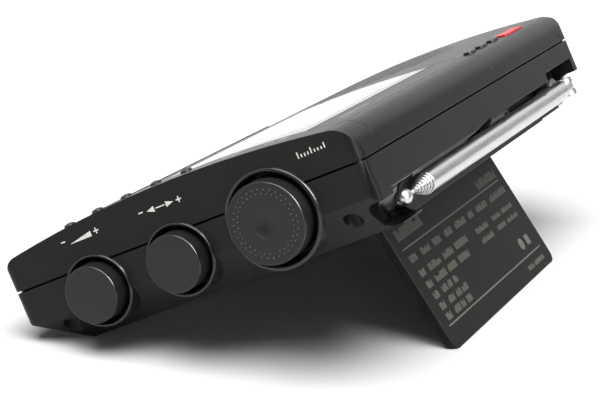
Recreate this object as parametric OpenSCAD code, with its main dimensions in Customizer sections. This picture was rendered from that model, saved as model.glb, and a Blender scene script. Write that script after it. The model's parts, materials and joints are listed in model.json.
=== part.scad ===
// Portable shortwave receiver, standing open on its flip stand.
// Everything is drawn in the radio's own directions: x runs to the knob side, y to the top
// edge and z to the face, with z = 0 on the flat back. rest_pose() then leans the whole radio
// back onto its stand.

/* [Cabinet] */
// Length from side to side
case_l = 187; // [186:0.5:188]
// Height from bottom edge to top edge
case_h = 114; // [113.5:0.5:114.5]
// Height of the face's crown over the back
crown_z = 33.3; // [33:0.1:33.6]
// Radius of the crowned face
crown_r = 370; // [360:5:380]
// Where the crown is highest, from the middle of the height
crown_y = 1; // [0:0.5:2]
// Radius of the face's shoulder at the bottom edge
shoulder_low = 6; // [5:0.5:7]
// Radius of the face's shoulder at the top edge
shoulder_top = 7; // [6:0.5:8]
// Height of the seam between the two cabinets
seam_z = 19.8; // [19.5:0.1:20]
// Width of the shadow gap at the seam
seam_gap = 0.6; // [0.4:0.1:0.7]
// Thickness of the cabinet walls
wall = 2; // [1.8:0.1:2.2]
// Height at which the rear bevels start
bevel_z = 10.3; // [10:0.1:10.6]
// How far the side bevels run in across the back
bevel_side = 11.2; // [10.5:0.1:11.5]
// How far the bottom bevel runs up the back
bevel_low = 11.8; // [11.5:0.1:12]

/* [Stance] */
// Lean of the radio's back from the table
lean = 25.13; // [25:0.01:25.3]
// Opening of the flip stand from its closed position
stand_open = 100; // [99.5:0.1:100.5]

/* [Knobs] */
// Radius of the two small knobs
small_knob_r = 8.05; // [7.9:0.05:8.1]
// Radius of the tuning knob
tuning_knob_r = 11.1; // [11:0.05:11.2]
// How far the knobs stand out of the side
knob_out = 5.2; // [4.8:0.1:5.5]
// Place of the volume knob along the side
volume_y = -30.3; // [-30.6:0.1:-30]
// Place of the fine tuning knob along the side
fine_y = -2.9; // [-3.2:0.1:-2.6]
// Place of the tuning knob along the side
tuning_y = 27.2; // [27:0.1:27.4]

/* [Aerial] */
// Place of the folded aerial's line, from the middle of the height
aerial_y = 54; // [53.9:0.05:54.1]
// Height of the folded aerial's line over the back
aerial_z = 5.4; // [5.3:0.05:5.5]
// Radius of the outer section
aerial_r = 3.15; // [3.1:0.01:3.2]
// Wall of each section
section_wall = 0.3; // [0.28:0.01:0.3]
// Running gap between sections
section_gap = 0.06; // [0.05:0.01:0.08]
// How far each section stands out of the one before
section_step = 1.35; // [1.2:0.05:1.4]

/* [Keys] */
// Height of the side column's domed keys over the face
key_rise = 0.95; // [0.9:0.05:1]
// Height of the number and band keys over the face
low_rise = 0.25; // [0.2:0.05:0.3]
// Gap round each key
key_gap = 0.3; // [0.25:0.05:0.35]
// Travel of a face key
key_travel = 0.8; // [0.6:0.1:0.8]

/* [Batteries] */
// Radius of a cell
cell_r = 7.1; // [7:0.05:7.15]
// Length of a cell without its button
cell_l = 49.2; // [49:0.1:49.3]

/* [Hidden] */
$fn = 64;
eps = 0.01;
half_l = case_l / 2;
half_h = case_h / 2;
crown_zc = crown_z - crown_r;
big_fn = 720;

// Rear cabinet
rear_top = seam_z - seam_gap / 2;
front_low = seam_z + seam_gap / 2;
lip_in = 1.1;
lip_h = 1.1;

// Wells and knobs
small_well_r = 9.2;
tuning_well_r = 12.3;
collar_wall = 1.1;
tuning_collar_wall = 1.5;
small_z = 12.65;
tuning_z = 13.9;
well_floor_x = half_l - 8;
well_floor_t = 1.2;
shaft_r = 3;
shaft_hole_r = 3.05;
bush_r = 3.5;
bush_hole_r = 3.7;

// Light bar
bar_x0 = -16.6;
bar_x1 = 81.2;
bar_y0 = 40.5;
bar_gap = 0.25;
bar_travel = 0.45;

// Display
lens_x0 = -13;
lens_x1 = 80;
lens_y0 = -5;
lens_y1 = 39.4;
lens_t = 1.1;

// Speaker
speaker_x = -53;
speaker_y = -6;
grille_r = 36;
speaker_r = 37;
speaker_z = 18.3;
hole_pitch = 4.9;
hole_r = 1.35;

// Keys: centres, sizes and rows
digit_x = [-5, 14, 33, 52, 71];
digit_y = [-20, -31];
digit_w = 13;
digit_h = 6.2;
band_x = [14, 52];
band_y = -42;
band_w = 30;
band_h = 4.6;
page_x = 84.6;
page_y = [4, -6.15, -16.3, -26.45, -36.6];
page_w = 3.4;
page_h = 2.6;
page_dome = 3.2;
clock_x = [-22.5, -33.5, -44.5];
clock_y = 50;
clock_w = 5.4;
clock_h = 2.6;
power_x = -61.5;
power_y = 50.2;
power_w = 17;
power_h = 3.8;
flange_side = 0.9;
flange_t = 0.8;
key_bottom = 27.25;
edge_key_bottom = 25;
edge_flange_top = 26.4;
switch_gap = 0.05;

// Boards
front_board_z = 23.05;
edge_board_z = 21.1;
board_t = 1.4;
main_board_z = 18;

// Flip stand, in its closed position
hinge_y = 33.05;
hinge_z = 1.9;
stand_x0 = -41.6;
stand_x1 = 53.9;
stand_turn = stand_open + lean;
stand_barrel_r = 1.75;
stand_t = 2;
stand_pin_r = 0.9;
stand_pin_hole_r = 0.95;
lift = -(bevel_low - half_h) * sin(lean);
stand_l = (hinge_y * sin(lean) + hinge_z * cos(lean) + lift - stand_barrel_r * cos(stand_turn)) / sin(stand_turn);
recess_gap = 0.5;
recess_z = 2.35;
recess_back = 1.4;
stand_lug_l = 10;

// Battery bay
bay_x = 54.5;
bay_y0 = -43;
bay_y1 = -13.5;
bay_top = 16.6;
door_t = 1.5;
door_gap = 0.2;

// Aerial
pivot_x = -81;
tube_x0 = -74;
tube_x1 = 57;
sections = 7;
swivel_r = 4.6;
journal_r = 2.5;
journal_hole_r = 2.55;
pin_r = 1;
pin_hole_r = 1.05;
channel_r = 3.7;
relief_r = 3;
pocket_x0 = 66.5;
pocket_x1 = 83.3;
neck_end = 71;
bulb_r = 2.15;
bulb_x = 73.4;

// Case screws
screw_at = [[88.6, 45.8], [88.6, -45.8], [-88.6, 37.6], [-88.6, -45.8]];
screw_well_r = 2.45;
screw_seat_z = 12;

// Left side sockets and switches
jack_y = [8, -6, -20];
jack_z = 14.6;
jack_r = 1.8;
dc_y = -34;
dc_r = 2.8;
tone_y = 19.5;
gain_y = 29;

// Stance
ridge_y = -half_h + bevel_low;
reach_x = knob_out / 2;
tip_y = hinge_y + turn_y(-stand_l, -stand_barrel_r);
tip_z = hinge_z + turn_z(-stand_l, -stand_barrel_r);
back_y = tip_y * cos(lean) - tip_z * sin(lean);
low_y = -half_h + shoulder_low;
low_z = face_centre_z(shoulder_low, low_y);
front_y = low_y * cos(lean) - low_z * sin(lean) - shoulder_low;

// A point (y, z) from the stand's hinge, turned from closed to open
function turn_y(y, z) = y * cos(stand_open) - z * sin(stand_open);
function turn_z(y, z) = y * sin(stand_open) + z * cos(stand_open);

// Height of the centre of a shoulder of radius r whose centre is at y, on a face lowered by d
function face_centre_z(r, y, d = 0) = crown_zc + sqrt(pow(crown_r - d - r, 2) - pow(y - crown_y, 2));

// Height of the face at a place y
function face_z(y) = crown_zc + sqrt(crown_r * crown_r - (y - crown_y) * (y - crown_y));

// Radius of the outside and of the bore of aerial section i
function tube_r(i) = aerial_r - (i - 1) * (section_wall + section_gap);
function tube_end(i) = tube_x1 + (i - 1) * section_step;

module rest_pose() {
    translate([-reach_x, -(back_y + front_y) / 2, lift])
        rotate([lean, 0, 0])
        children();
}

// A 2D outline in (y, z), drawn along x from x0 to x1
module along_x(x0, x1) {
    translate([x0, 0, 0])
        rotate([90, 0, 90])
        linear_extrude(x1 - x0)
        children();
}

// A 2D outline in (x, z), drawn along y from y0 to y1
module along_y(y0, y1) {
    translate([0, y1, 0])
        rotate([90, 0, 0])
        linear_extrude(y1 - y0)
        children();
}

// A cylinder along x
module rod_x(r, x0, x1, y, z, fn = 64) {
    translate([x0, y, z])
        rotate([0, 90, 0])
        cylinder(r = r, h = x1 - x0, $fn = fn);
}

// A cylinder along y
module rod_y(r, y0, y1, x, z) {
    translate([x, y1, z])
        rotate([90, 0, 0])
        cylinder(r = r, h = y1 - y0);
}

// A box from its low corner to its high corner
module box(low, high) {
    translate(low)
        cube(high - low);
}

// A flat rectangle with round corners, centred
module round_rect(w, h, r) {
    square([w - 2 * r, h], center = true);
    square([w, h - 2 * r], center = true);
    for (sx = [-1, 1], sy = [-1, 1])
        translate([sx * (w / 2 - r), sy * (h / 2 - r)])
        circle(r);
}

// The side outline of the whole case above the back, inset by d: crown and two shoulders
module face_outline(d) {
    low = shoulder_low - d / 2;
    top = shoulder_top - d / 2;
    y_low = -half_h + d + low;
    y_top = half_h - d - top;
    z_low = face_centre_z(low, y_low, d);
    z_top = face_centre_z(top, y_top, d);
    difference() {
        intersection() {
            translate([crown_y, crown_zc])
                circle(crown_r - d, $fn = big_fn);
            translate([-half_h + d, 0])
                square([case_h - 2 * d, 40]);
        }
        translate([-half_h - 1, z_low])
            square([low + d + 1, 20]);
        translate([y_top, z_top])
            square([top + d + 1, 20]);
    }
    translate([y_low, z_low])
        circle(low);
    translate([y_top, z_top])
        circle(top);
}

// Everything under the face, lowered by d, without its ends
module under_face(d) {
    along_x(-half_l - 1, half_l + 1)
        intersection() {
            translate([crown_y, crown_zc])
                circle(crown_r - d, $fn = big_fn);
            translate([-half_h - 1, 5])
                square([case_h + 2, 40]);
        }
}

// The plan outline of the case, inset by d
module plan(d) {
    round_rect(case_l - 2 * d, case_h - 2 * d, 3 - d / 2);
}

// The solid of the front half, inset by d
module front_solid(d) {
    intersection() {
        along_x(-half_l + d, half_l - d)
            face_outline(d);
        translate([0, 0, front_low - 5])
            linear_extrude(30)
            plan(d);
    }
}

// The solid of the rear half, inset by d, with its bevelled back
module rear_solid(d) {
    x = half_l - d;
    z = rear_top;
    bottom = -half_h + d;
    intersection() {
        along_x(-half_l, half_l)
            polygon([[bottom, z], [bottom, 11.3 + d / 3], [-half_h + 1.5 + d, bevel_z - 0.2 + d / 3],
                [ridge_y + d / 2, d], [half_h - d, d], [half_h - d, z]]);
        along_y(-half_h, half_h)
            polygon([[-x, z], [-x, bevel_z + d / 3], [-x + bevel_side - d / 3, d],
                [x - bevel_side + d / 3, d], [x, bevel_z + d / 3], [x, z]]);
        linear_extrude(30)
            plan(d);
    }
}

module well_collars(grow, x0, x1) {
    rod_x(small_well_r + grow, x0, x1, volume_y, small_z);
    rod_x(small_well_r + grow, x0, x1, fine_y, small_z);
    rod_x(tuning_well_r + grow, x0, x1, tuning_y, tuning_z);
}

// The knob wells with their chamfered mouths
module well_cuts() {
    well_collars(0, well_floor_x, half_l + 5);
    for (k = [[volume_y, small_z, small_well_r], [fine_y, small_z, small_well_r],
        [tuning_y, tuning_z, tuning_well_r]]) {
        translate([half_l - 0.7, k[0], k[1]])
            rotate([0, 90, 0])
            cylinder(r1 = k[2] - 0.01, r2 = k[2] + 1.4, h = 1.4);
        rod_x(bush_hole_r, well_floor_x - 3, well_floor_x + 1, k[0], k[1]);
    }
}

// The proud collars and their closed cups, before the wells are cut
module well_blocks() {
    x0 = well_floor_x - well_floor_t;
    x1 = half_l + 0.25;
    rod_x(small_well_r + collar_wall, x0, x1, volume_y, small_z);
    rod_x(small_well_r + collar_wall, x0, x1, fine_y, small_z);
    rod_x(tuning_well_r + tuning_collar_wall, x0, x1, tuning_y, tuning_z);
}

// The round pocket behind a key, cut through the face
module key_hole(x, y, w, h) {
    translate([x, y, 24])
        linear_extrude(20)
        round_rect(w + 2 * key_gap, h + 2 * key_gap, 1);
}

module all_key_holes() {
    for (x = digit_x, y = digit_y)
        key_hole(x, y, digit_w, digit_h);
    for (x = band_x)
        key_hole(x, band_y, band_w, band_h);
    for (y = page_y)
        key_hole(page_x, y, page_w, page_h);
    for (x = clock_x)
        key_hole(x, clock_y, clock_w, clock_h);
    key_hole(power_x, power_y, power_w, power_h);
}

// The space that the light bar fills, grown by g
module bar_space(g) {
    box([bar_x0 - g, bar_y0 - g - 0.3, front_low - 0.05], [bar_x1 + g, half_h + 2, 40]);
}

module front_cabinet() {
    color([0.13, 0.13, 0.135])
        difference() {
            union() {
                difference() {
                    front_solid(0);
                    front_solid(wall);
                    box([-100, -70, 0], [100, 70, front_low]);
                }
                front_lip();
                intersection() {
                    front_solid(0);
                    front_posts();
                }
                intersection() {
                    well_blocks();
                    box([half_l - 12, -60, front_low], [half_l + 1, 60, 40]);
                }
            }
            well_cuts();
            bar_space(bar_gap);
            all_key_holes();
            lens_pocket();
            grille_pocket();
            screw_holes();
            end_step();
            end_groove();
            left_chamfer();
        }
}

// The tongue that closes the seam from inside
module front_lip() {
    difference() {
        translate([0, 0, front_low - lip_h])
            linear_extrude(lip_h + 1.2)
            difference() {
                plan(lip_in);
                plan(wall + 0.2);
            }
        well_collars(4, well_floor_x - 4, half_l + 1);
        side_openings(1);
    }
}

// Posts that take the case screws
module front_posts() {
    for (p = screw_at)
        translate([p[0], p[1], front_low])
            cylinder(r = 3, h = 12);
}

module screw_holes() {
    for (p = screw_at)
        translate([p[0], p[1], front_low - 1])
            cylinder(r = 1.25, h = 8);
}

// The step where the end panel stands back from the top edge
module end_step() {
    box([half_l - 1.4, half_h - 0.6, 0], [half_l + 1, half_h + 1, 40]);
}

// The thin groove near the left end of the top edge
module end_groove() {
    box([-86.7, half_h - 0.5, front_low - 1], [-86.2, half_h + 1, 27]);
}

// The broken edge of the face along the left end
module left_chamfer() {
    translate([-half_l, crown_y, crown_zc])
        rotate([0, 90, 0])
        rotate_extrude($fn = big_fn)
        polygon([[crown_r - 1.4, -0.5], [crown_r + 3, -0.5], [crown_r + 3, 4.4], [crown_r - 1.4, 0.1]]);
}

module lens_pocket() {
    difference() {
        box([lens_x0, lens_y0, 22], [lens_x1, lens_y1, 40]);
        under_face(lens_t + 0.1);
    }
    box([lens_x0 + 3, lens_y0 + 3, 22], [lens_x1 - 3, lens_y1 - 3, 40]);
}

module grille_pocket() {
    difference() {
        translate([speaker_x, speaker_y, 22])
            cylinder(r = grille_r + 1.5, h = 20);
        under_face(1.1);
    }
    translate([speaker_x, speaker_y, 22])
        cylinder(r = grille_r - 0.5, h = 20);
}

module rear_cabinet() {
    color([0.11, 0.11, 0.115])
        difference() {
            union() {
                difference() {
                    rear_solid(0);
                    rear_solid(wall);
                    box([-100, -70, rear_top], [100, 70, 40]);
                    lip_rebate();
                }
                intersection() {
                    rear_solid(0);
                    union() {
                        rear_backing();
                        bay_walls();
                        screw_bosses();
                    }
                }
                intersection() {
                    well_blocks();
                    box([half_l - 12, -60, 0.05], [half_l + 1, 60, rear_top]);
                }
            }
            well_cuts();
            stand_recess();
            bay_cut();
            aerial_channel();
            screw_wells();
            side_openings(0);
            end_step_rear();
        }
}

// Where the front cabinet's tongue sits
module lip_rebate() {
    translate([0, 0, front_low - lip_h - 0.1])
        linear_extrude(4)
        difference() {
            plan(lip_in - 0.05);
            plan(wall + 1);
        }
}

// Material behind the stand recess and round the aerial channel
module rear_backing() {
    box([stand_x0 - 4, hinge_y - stand_l - 2.1, 0], [stand_x1 + 4, hinge_y + 6, recess_z + recess_back]);
    box([stand_x0 - 4, hinge_y - 4, 0], [stand_x1 + 4, hinge_y + 4.2, 5.6]);
    box([-half_l, 47.6, 0], [half_l - 8, half_h, 15.2]);
    box([pivot_x - 4.6, 43.4, 0], [pivot_x + 4.6, 48, 10.2]);
    box([83, 47.6, 0], [half_l, half_h, 12.4]);
}

module bay_walls() {
    box([-bay_x - 1.4, bay_y0 - 1.4, 0], [bay_x + 1.4, bay_y1 + 1.4, bay_top + 1.2]);
}

module screw_bosses() {
    for (p = screw_at)
        translate([p[0], p[1], 0])
            cylinder(r = 3.6, h = rear_top);
}

module screw_wells() {
    for (p = screw_at)
        translate([p[0], p[1], -1]) {
            cylinder(r = screw_well_r, h = screw_seat_z + 1);
            cylinder(r = 1.5, h = 30);
        }
}

module stand_recess() {
    box([stand_x0 - recess_gap, hinge_y - stand_l - recess_gap, -1],
        [stand_x1 + recess_gap, hinge_y + stand_barrel_r + recess_gap + 0.6, recess_z]);
    for (x = stand_lugs())
        box([x - stand_lug_l / 2 - 0.5, hinge_y - 2.4, -1],
            [x + stand_lug_l / 2 + 0.5, hinge_y + 2.9, 4.2]);
    rod_x(stand_pin_r + 0.01, stand_x0 - 2.5 + eps, stand_x0 + 6, hinge_y, hinge_z);
    rod_x(stand_pin_r + 0.01, stand_x1 - 6, stand_x1 + 2.5 - eps, hinge_y, hinge_z);
}

// Middles of the stand's two hinge lugs
function stand_lugs() = [stand_x0 + stand_lug_l / 2, stand_x1 - stand_lug_l / 2];

module bay_cut() {
    box([-bay_x, bay_y0, -1], [bay_x, bay_y1, bay_top]);
    box([-bay_x - 0.8, bay_y0 - 0.5, -1], [bay_x + 0.8, bay_y1 + 0.5, door_t + 0.1]);
}

// The open channel of the folded aerial, its swivel pocket and its finger notch
module aerial_channel() {
    x0 = -87.5;
    rod_x(channel_r, -half_l - 1, pocket_x0 + 1, aerial_y, aerial_z);
    box([-half_l - 1, aerial_y - channel_r, -1], [pocket_x0 + 1, half_h + 2, aerial_z]);
    box([-half_l - 1, aerial_y, -1], [pocket_x0 + 1, half_h + 2, aerial_z + channel_r]);
    rod_x(relief_r, pocket_x0, half_l + 1, aerial_y, aerial_z);
    box([pocket_x0, aerial_y - relief_r, -1], [half_l + 1, half_h + 2, aerial_z]);
    box([pocket_x0, aerial_y, -1], [half_l + 1, half_h + 2, aerial_z + relief_r]);
    top_edge_chamfer();
    box([-57, 51, 4], [-15, half_h + 2, 11]);
    box([x0, 48.9, -1], [-59, half_h + 2, 13.7]);
    thumb_wedge();
    finger_notch();
    rod_y(journal_hole_r, 42, 50, pivot_x, aerial_z);
}

// The narrow light-catching bevel above the channel
module top_edge_chamfer() {
    along_x(-14, 83.5)
        polygon([[half_h + 1, 8], [half_h - 1.3, 8], [half_h - 1.3, bevel_z - 1.3],
            [half_h, bevel_z], [half_h + 1, bevel_z]]);
}

module thumb_wedge() {
    translate([0.5, 0, 0])
        along_y(51, half_h + 1)
        polygon([[22, 9], [22, 9.4], [0, 11.4], [0, 8.4]]);
}

module finger_notch() {
    rod_x(5.2, pocket_x0, pocket_x1, 54.5, 5);
    box([pocket_x0, 51.6, -1], [pocket_x1, half_h + 2, 5]);
}

// The step of the end panel, deeper towards the back
module end_step_rear() {
    along_x(half_l - 1.4, half_l + 1)
        polygon([[half_h + 1, 0], [half_h + 1, 30], [half_h - 0.6, 30], [half_h - 0.6, seam_z],
            [half_h - 1.9, bevel_z], [half_h - 1.9, 0]]);
}

// Openings in the left side for sockets and switches, grown by g
module side_openings(g) {
    for (y = jack_y)
        rod_x(3.05 + g, -half_l - 1, -half_l + 4, y, jack_z);
    rod_x(4.05 + g, -half_l - 1, -half_l + 4, dc_y, jack_z);
    for (y = [tone_y, gain_y])
        box([-half_l - 1, y - 3.6 - g, jack_z - 1.6 - g], [-half_l + 4, y + 3.6 + g, jack_z + 1.6 + g]);
}

module speaker_grille() {
    color([0.09, 0.09, 0.095])
        difference() {
            translate([speaker_x, speaker_y, 22])
                cylinder(r = grille_r + 1.4, h = 20);
            under_face(1.05);
            grille_top();
            for (i = [-8:8], j = [-8:8])
                if (norm(grille_hole(i, j)) < grille_r - 3)
                    translate([speaker_x, speaker_y, 25])
                    translate(grille_hole(i, j))
                    cylinder(r = hole_r, h = 15, $fn = 16);
        }
}

// Place of a grille hole in its close-packed rows
function grille_hole(i, j) = [(i + (j % 2) / 2) * hole_pitch, j * hole_pitch * sin(60)];

// Everything above the face where the grille lies
module grille_top() {
    difference() {
        box([speaker_x - 45, speaker_y - 45, 25], [speaker_x + 45, speaker_y + 45, 60]);
        under_face(0.02);
    }
}

module display_lens() {
    color([0.05, 0.05, 0.06, 0.85])
        intersection() {
            box([lens_x0 + 0.15, lens_y0 + 0.15, 22], [lens_x1 - 0.15, lens_y1 - 0.15, 40]);
            difference() {
                under_face(0.02);
                under_face(lens_t);
            }
        }
}

module light_bar() {
    color([0.13, 0.13, 0.135])
        difference() {
            intersection() {
                front_solid(0);
                box([bar_x0, bar_y0, front_low], [bar_x1, half_h + 1, 40]);
            }
            intersection() {
                front_solid(wall);
                box([bar_x0 + 1.5, bar_y0 - 2, front_low - 1], [bar_x1 - 1.5, half_h, 40]);
            }
        }
    color([0.13, 0.13, 0.135])
        for (x = [bar_x0 + 8, bar_x1 - 8])
            box([x - 3, bar_y0 - 1.6, 27], [x + 3, bar_y0 + 3, face_z(bar_y0) - wall - 0.15]);
}

// Height of the flange of a face key, clear under the crown's inner surface
function face_flange(y, h) = face_z(abs(y) + h / 2 + flange_side + 1.2) - wall - 0.35;

// A key of the face: a cap that follows the crown or is domed, its flange and its stem
module face_key(x, y, w, h, rise, bottom, flange_top, dome = 0) {
    intersection() {
        translate([x, y, flange_top - 0.01])
            linear_extrude(20)
            round_rect(w, h, 0.9);
        if (dome > 0)
            translate([x, y, face_z(y) + rise - dome])
            sphere(dome);
        else
            under_face(-rise);
    }
    translate([x, y, flange_top - flange_t])
        linear_extrude(flange_t)
        round_rect(w + 2 * flange_side, h + 2 * flange_side, 0.9);
    translate([x, y, bottom])
        cylinder(r = 1.6, h = flange_top - bottom);
}

module digit_key(i) {
    color([0.16, 0.16, 0.165])
        face_key(digit_x[i % 5], digit_y[floor(i / 5)], digit_w, digit_h, low_rise, key_bottom,
            face_flange(digit_y[floor(i / 5)], digit_h));
}

module band_key(i) {
    color([0.2, 0.2, 0.21])
        face_key(band_x[i], band_y, band_w, band_h, low_rise, key_bottom, face_flange(band_y, band_h));
}

module page_key(i) {
    color([0.16, 0.16, 0.165])
        face_key(page_x, page_y[i], page_w, page_h, key_rise, key_bottom, face_flange(page_y[i], page_h),
            page_dome);
}

module clock_key(i) {
    color([0.05, 0.05, 0.05])
        face_key(clock_x[i], clock_y, clock_w, clock_h, 0.7, edge_key_bottom, edge_flange_top);
}

module power_button() {
    color([0.8, 0.12, 0.12])
        face_key(power_x, power_y, power_w, power_h, 0.5, edge_key_bottom, edge_flange_top);
}

// A knob that turns about x: a cap with a rounded rim, a skirt ring and a shaft socket
module knob(r, y, z, dish_r) {
    x0 = well_floor_x + 1.2;
    x1 = half_l + knob_out;
    edge = 0.6;
    translate([x0, y, z])
        rotate([0, 90, 0])
        difference() {
            union() {
                rotate_extrude($fn = 128) {
                    square([r - edge, x1 - x0]);
                    square([r, x1 - x0 - edge]);
                    translate([r - edge, x1 - x0 - edge])
                        circle(edge, $fn = 32);
                }
                cylinder(r = r + 0.4, h = 1.6);
            }
            translate([0, 0, -1])
                cylinder(r = shaft_r + 0.02, h = x1 - x0 - 1.5);
            translate([0, 0, -1])
                difference() {
                    cylinder(r = r - 1.6, h = 5);
                    cylinder(r = shaft_r + 1.6, h = 6);
                }
            if (dish_r > 0)
                translate([0, 0, x1 - x0 + dish_r * 1.55])
                    sphere(dish_r * 1.85);
        }
}

module tuning_knob() {
    color([0.14, 0.14, 0.145])
        knob(tuning_knob_r, tuning_y, tuning_z, 4.1);
}

module fine_knob() {
    color([0.14, 0.14, 0.145])
        knob(small_knob_r, fine_y, small_z, 0);
}

module volume_knob() {
    color([0.14, 0.14, 0.145])
        knob(small_knob_r, volume_y, small_z, 0);
}

// A control shaft, from inside its body to the knob's socket
module shaft(y, z) {
    color([0.75, 0.75, 0.76])
        rod_x(shaft_r, 78, half_l + knob_out - 2.8, y, z);
}

// A panel control: a box, a bushing and a bore for its shaft
module control(y, z, size) {
    difference() {
        union() {
            box([72.5, y - size / 2, z - size / 2], [79.5, y + size / 2, min(z + size / 2, main_board_z - 0.05)]);
            rod_x(bush_r, 79, well_floor_x + 0.8, y, z);
        }
        rod_x(shaft_hole_r, 77.5, well_floor_x + 2, y, z);
    }
}

module tuning_encoder() {
    color([0.45, 0.46, 0.48])
        control(tuning_y, tuning_z, 12);
}

module potentiometers() {
    color([0.3, 0.42, 0.35]) {
        control(fine_y, small_z, 10.6);
        control(volume_y, small_z, 10.6);
    }
}

module battery_door() {
    color([0.11, 0.11, 0.115]) {
        box([-bay_x - 0.8 + door_gap, bay_y0 - 0.5 + door_gap, 0.05],
            [bay_x + 0.8 - door_gap, bay_y1 + 0.5 - door_gap, door_t]);
        for (x = [-8:4:8])
            box([x - 8, bay_y0 + 3, -0.25], [x - 6.6, bay_y0 + 9, 0.1]);
    }
}

// The stand, drawn closed and then turned open about its hinge
module flip_stand() {
    w = stand_x1 - stand_x0;
    low = -stand_barrel_r;
    foot = 90 - stand_turn;
    color([0.13, 0.13, 0.135])
        translate([0, hinge_y, hinge_z])
        rotate([stand_open, 0, 0])
        difference() {
            union() {
                intersection() {
                    translate([(stand_x0 + stand_x1) / 2, -stand_l / 2 + 3, low])
                        linear_extrude(stand_t)
                        round_rect(w, stand_l + 6, 3);
                    box([stand_x0, -stand_l, low], [stand_x1, 0, 1]);
                }
                for (x = stand_lugs())
                    rod_x(stand_barrel_r, x - stand_lug_l / 2, x + stand_lug_l / 2, 0, 0);
            }
            for (x = stand_lugs())
                rod_x(stand_pin_hole_r, x - stand_lug_l / 2 - 1, x + stand_lug_l / 2 + 1, 0, 0);
            translate([stand_x0 + stand_lug_l, -2.2, -3])
                cube([w - 2 * stand_lug_l, 6, 6]);
            translate([0, -stand_l, low])
                rotate([foot, 0, 0])
                translate([stand_x0 - 1, -8, -2])
                cube([w + 2, 8, 8]);
        }
}

module stand_hinge_pins() {
    color([0.75, 0.75, 0.76]) {
        rod_x(stand_pin_r, stand_x0 - 2.4, stand_x0 + stand_lug_l - 1, hinge_y, hinge_z);
        rod_x(stand_pin_r, stand_x1 - stand_lug_l + 1, stand_x1 + 2.4, hinge_y, hinge_z);
    }
}

// The fork that turns in the case; its ears hold the aerial's tongue
module aerial_swivel() {
    color([0.2, 0.2, 0.21])
        difference() {
            union() {
                rod_y(journal_r, 42.8, 49.6, pivot_x, aerial_z);
                intersection() {
                    rod_y(swivel_r, 49.2, 58, pivot_x, aerial_z);
                    union() {
                        box([pivot_x - 5, 49.2, aerial_z - 5], [pivot_x + 5, 50.6, aerial_z + 5]);
                        translate([pivot_x, aerial_y, aerial_z - 2.9])
                            cylinder(r = 2.9, h = 5.8);
                        box([pivot_x - 2.9, 50, aerial_z - 2.9], [pivot_x + 2.9, aerial_y, aerial_z + 2.9]);
                    }
                }
            }
            box([pivot_x - 8, 50.6, aerial_z - 1.3], [pivot_x + 8, 60, aerial_z + 1.3]);
            translate([pivot_x, aerial_y, aerial_z - 4])
                cylinder(r = pin_r + 0.01, h = 8);
        }
}

module aerial_hinge_pin() {
    color([0.8, 0.8, 0.82])
        translate([pivot_x, aerial_y, aerial_z - 2.8])
        cylinder(r = pin_r, h = 5.6);
}

// The outer section with its closed foot and its hinge tongue
module aerial_section_1() {
    color([0.85, 0.86, 0.88])
        difference() {
            union() {
                rod_x(aerial_r, tube_x0, tube_x1, aerial_y, aerial_z);
                rod_x(2.75, tube_x0 - 1.6, tube_x0 + 1, aerial_y, aerial_z);
                intersection() {
                    rod_x(2.75, pivot_x - 3, tube_x0, aerial_y, aerial_z);
                    union() {
                        box([pivot_x, aerial_y - 3, aerial_z - 1.2], [tube_x0, aerial_y + 3, aerial_z + 1.2]);
                        translate([pivot_x, aerial_y, aerial_z - 1.2])
                            cylinder(r = 2.7, h = 2.4);
                    }
                }
            }
            translate([pivot_x, aerial_y, aerial_z - 4])
                cylinder(r = pin_hole_r, h = 8);
            rod_x(aerial_r - section_wall, tube_x0 + 1, tube_x1 + 1, aerial_y, aerial_z);
        }
}

// Section i of the aerial; the last one is a solid rod
module aerial_section(i) {
    x0 = tube_x0 + 1 + i * 0.6;
    color([0.85, 0.86, 0.88])
        difference() {
            rod_x(tube_r(i), x0, tube_end(i), aerial_y, aerial_z);
            if (i < sections)
                rod_x(tube_r(i) - section_wall, x0 + 0.5, tube_end(i) + 1, aerial_y, aerial_z);
        }
}

module aerial_tip() {
    x1 = tube_end(sections);
    color([0.88, 0.89, 0.9])
        translate([x1, aerial_y, aerial_z])
        rotate([0, 90, 0])
        rotate_extrude() {
            square([0.75, neck_end - x1 + 1]);
            intersection() {
                translate([0, bulb_x - x1])
                    circle(bulb_r);
                translate([0, bulb_x - x1 - bulb_r])
                    square([bulb_r, 2 * bulb_r - 0.7]);
            }
        }
}

module display_module() {
    color([0.62, 0.66, 0.6])
        box([-5, 3, 24.3], [74, 36.5, 29.2]);
}

module main_board() {
    color([0.1, 0.36, 0.2])
        difference() {
            box([-11, -52, main_board_z], [83, 46.5, main_board_z + 1.5]);
            for (p = screw_at)
                translate([p[0], p[1], 10])
                    cylinder(r = 4.2, h = 20);
        }
}

// The keypad's board, and a lower one under the keys of the top edge
module key_board() {
    color([0.1, 0.36, 0.2]) {
        difference() {
            union() {
                box([-18, -52, front_board_z], [89.5, 1, front_board_z + board_t]);
                box([81.5, 0, front_board_z], [89.5, 7.5, front_board_z + board_t]);
            }
            translate([screw_at[1][0], screw_at[1][1], front_board_z - 1])
                cylinder(r = 4, h = 5);
        }
        box([-72, 46.5, edge_board_z], [-18.5, 54, edge_board_z + board_t]);
        box([-24, -6, edge_board_z], [-18.5, 46.6, edge_board_z + board_t]);
        box([-23, -5, edge_board_z + board_t - eps], [-16, -1, front_board_z + eps]);
    }
}

// One dome switch on a board whose top is at z
module key_switch(x, y, z, top) {
    body_top = top - 0.8;
    box([x - 2.2, y - 2.2, z], [x + 2.2, y + 2.2, body_top]);
    translate([x, y, body_top - eps])
        cylinder(r = 1.2, h = top - body_top + eps);
}

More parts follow.
